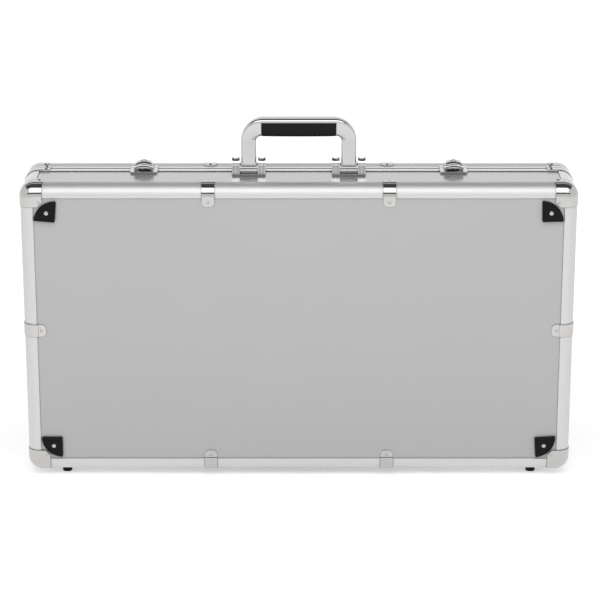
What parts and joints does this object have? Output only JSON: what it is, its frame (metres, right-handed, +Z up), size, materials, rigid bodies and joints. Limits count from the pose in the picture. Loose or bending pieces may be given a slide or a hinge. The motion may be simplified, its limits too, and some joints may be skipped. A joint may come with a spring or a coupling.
{
  "type": "guitar pedal case",
  "caption": "Shallow hinged case with aluminium edge extrusions, corner caps, draw latches with key locks and a folding carry handle, standing on its hinge side",
  "frame": {"origin": "bottom centre of the bounding box, on the plane that the standing feet rest on", "axes": "+X along the case's length, +Y from the base shell's underside (with its corner pads) through to the lid's face, +Z up through the handle"},
  "size_m": [0.6938, 0.1254, 0.457],
  "materials": {
    "laminate_panel": "smooth satin silver laminate",
    "aluminium_extrusion": "fine satin, drawn lengthwise",
    "nickel_steel": "nickel plated, lightly polished",
    "chromed_steel": "bright chrome plate",
    "black_rubber": "moulded, fine grain",
    "grip_rubber": "soft black vinyl",
    "black_foam": "open-cell foam"
  },
  "bodies": {
    "base": {"base_corner_caps": "nickel_steel", "base_corner_posts": "aluminium_extrusion", "base_edge_bottom": "aluminium_extrusion", "base_edge_clips": "nickel_steel", "base_edge_left": "aluminium_extrusion", "base_edge_right": "aluminium_extrusion", "base_edge_top": "aluminium_extrusion", "base_face_panel": "laminate_panel", "base_floor_foam": "black_foam", "base_rim": "aluminium_extrusion", "base_rim_brackets": "chromed_steel", "base_rivets": "nickel_steel", "base_wall_bottom": "laminate_panel", "base_wall_foam": "black_foam", "base_wall_left": "laminate_panel", "base_wall_right": "laminate_panel", "base_wall_top": "laminate_panel", "corner_pads": "black_rubber", "foot_screws": "nickel_steel", "handle_bracket_left": "chromed_steel", "handle_bracket_right": "chromed_steel", "handle_pins": "chromed_steel", "hinge_leaf_base_left": "chromed_steel", "hinge_leaf_base_right": "chromed_steel", "hinge_pins": "chromed_steel", "latch_base_left": "chromed_steel", "latch_base_right": "chromed_steel", "latch_pin_left": "chromed_steel", "latch_pin_right": "chromed_steel", "pad_rivets": "nickel_steel", "standing_feet": "black_rubber"},
    "lid": {"hinge_leaf_lid_left": "chromed_steel", "hinge_leaf_lid_right": "chromed_steel", "latch_keeper_left": "chromed_steel", "latch_keeper_right": "chromed_steel", "lid_corner_caps": "nickel_steel", "lid_corner_posts": "aluminium_extrusion", "lid_edge_bottom": "aluminium_extrusion", "lid_edge_clips": "nickel_steel", "lid_edge_left": "aluminium_extrusion", "lid_edge_right": "aluminium_extrusion", "lid_edge_top": "aluminium_extrusion", "lid_face_panel": "laminate_panel", "lid_foam": "black_foam", "lid_rim": "aluminium_extrusion", "lid_rim_brackets": "chromed_steel", "lid_rivets": "nickel_steel"},
    "handle": {"handle_bow": "chromed_steel", "handle_grip": "grip_rubber"},
    "lever_left": {"latch_lever_left": "chromed_steel", "latch_hook_left": "chromed_steel"},
    "lever_right": {"latch_lever_right": "chromed_steel", "latch_hook_right": "chromed_steel"},
    "lock_left": {"key_lock_left": "chromed_steel"},
    "lock_right": {"key_lock_right": "chromed_steel"}
  },
  "joints": [
    {"name": "lid_hinge", "type": "hinge", "parent": "base", "child": "lid", "pos_m": [0, 0.02177, 0.0041], "axis": [-1, 0, 0], "range_deg": [0, 95]},
    {"name": "handle_fold", "type": "hinge", "parent": "base", "child": "handle", "pos_m": [0, 0.00077, 0.3975], "axis": [1, 0, 0], "range_deg": [-85, 85]},
    {"name": "latch_left", "type": "hinge", "parent": "base", "child": "lever_left", "pos_m": [-0.1945, 0.00577, 0.3916], "axis": [1, 0, 0], "range_deg": [0, 100]},
    {"name": "lock_left", "type": "hinge", "parent": "lever_left", "child": "lock_left", "pos_m": [-0.1945, 0.01477, 0.3986], "axis": [0, 0, 1], "range_deg": [0, 90]},
    {"name": "latch_right", "type": "hinge", "parent": "base", "child": "lever_right", "pos_m": [0.1945, 0.00577, 0.3916], "axis": [1, 0, 0], "range_deg": [0, 100]},
    {"name": "lock_right", "type": "hinge", "parent": "lever_right", "child": "lock_right", "pos_m": [0.1945, 0.01477, 0.3986], "axis": [0, 0, 1], "range_deg": [0, 90]}
  ]
}
